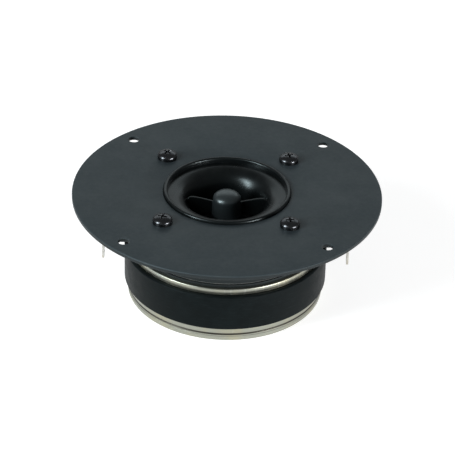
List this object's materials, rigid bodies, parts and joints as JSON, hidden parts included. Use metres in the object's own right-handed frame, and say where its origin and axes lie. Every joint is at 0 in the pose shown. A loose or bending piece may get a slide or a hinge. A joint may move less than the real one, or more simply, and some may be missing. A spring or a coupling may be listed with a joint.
{
  "type": "horn loaded dome tweeter",
  "caption": "Round flange-mounted high-frequency loudspeaker with a shallow horn, a central bullet, a ferrite ring magnet and side connection tabs.",
  "frame": {"origin": "centre of the rear face of the motor, on the axis of sound", "axes": "+Z along the axis of sound out of the horn, +X through the positive tab, +Y completes the right-handed frame"},
  "size_m": [0.11, 0.11, 0.0426],
  "materials": {
    "front_plate": "satin black powder coat",
    "clamp_screws": "black zinc",
    "horn": "gloss black moulding",
    "horn_frame": "matt black moulding",
    "phase_plug": "gloss black moulding",
    "horn_gasket": "light grey foam",
    "diaphragm_carrier": "matt black moulding",
    "surround": "coated cloth",
    "dome": "coated cloth",
    "voice_coil_former": "thin bright foil",
    "voice_coil": "enamelled winding wire",
    "damping_pad": "grey felt",
    "leads": "tinned braid",
    "solder": "bright solder",
    "terminals": "tin plated",
    "terminal_rivets": "nickel plated",
    "plated_steel": "yellow-grey zinc plating",
    "magnet": "ground ferrite, coated dark grey"
  },
  "bodies": {
    "chassis": {"front_plate": "front_plate", "clamp_screws": "clamp_screws", "horn": "horn", "horn_frame": "horn_frame", "phase_plug": "phase_plug", "horn_gasket": "horn_gasket", "diaphragm_carrier": "diaphragm_carrier", "surround": "surround", "damping_pad": "damping_pad", "lead_positive": "leads", "lead_negative": "leads", "solder_joints": "solder", "terminal_positive": "terminals", "terminal_negative": "terminals", "terminal_rivets": "terminal_rivets", "top_plate": "plated_steel", "magnet": "magnet", "pole_piece": "plated_steel", "inner_rear_plate": "plated_steel", "outer_rear_plate": "plated_steel"},
    "diaphragm": {"dome": "dome", "voice_coil_former": "voice_coil_former", "voice_coil": "voice_coil"}
  },
  "joints": [
    {"name": "diaphragm_travel", "type": "slide", "parent": "chassis", "child": "diaphragm", "axis": [0, 0, 1], "range_m": [-0.0004, 0.0004], "stiffness_N_per_m": 100, "springref_m": 0.0001, "deforming": ["surround", "lead_positive", "lead_negative"]}
  ]
}
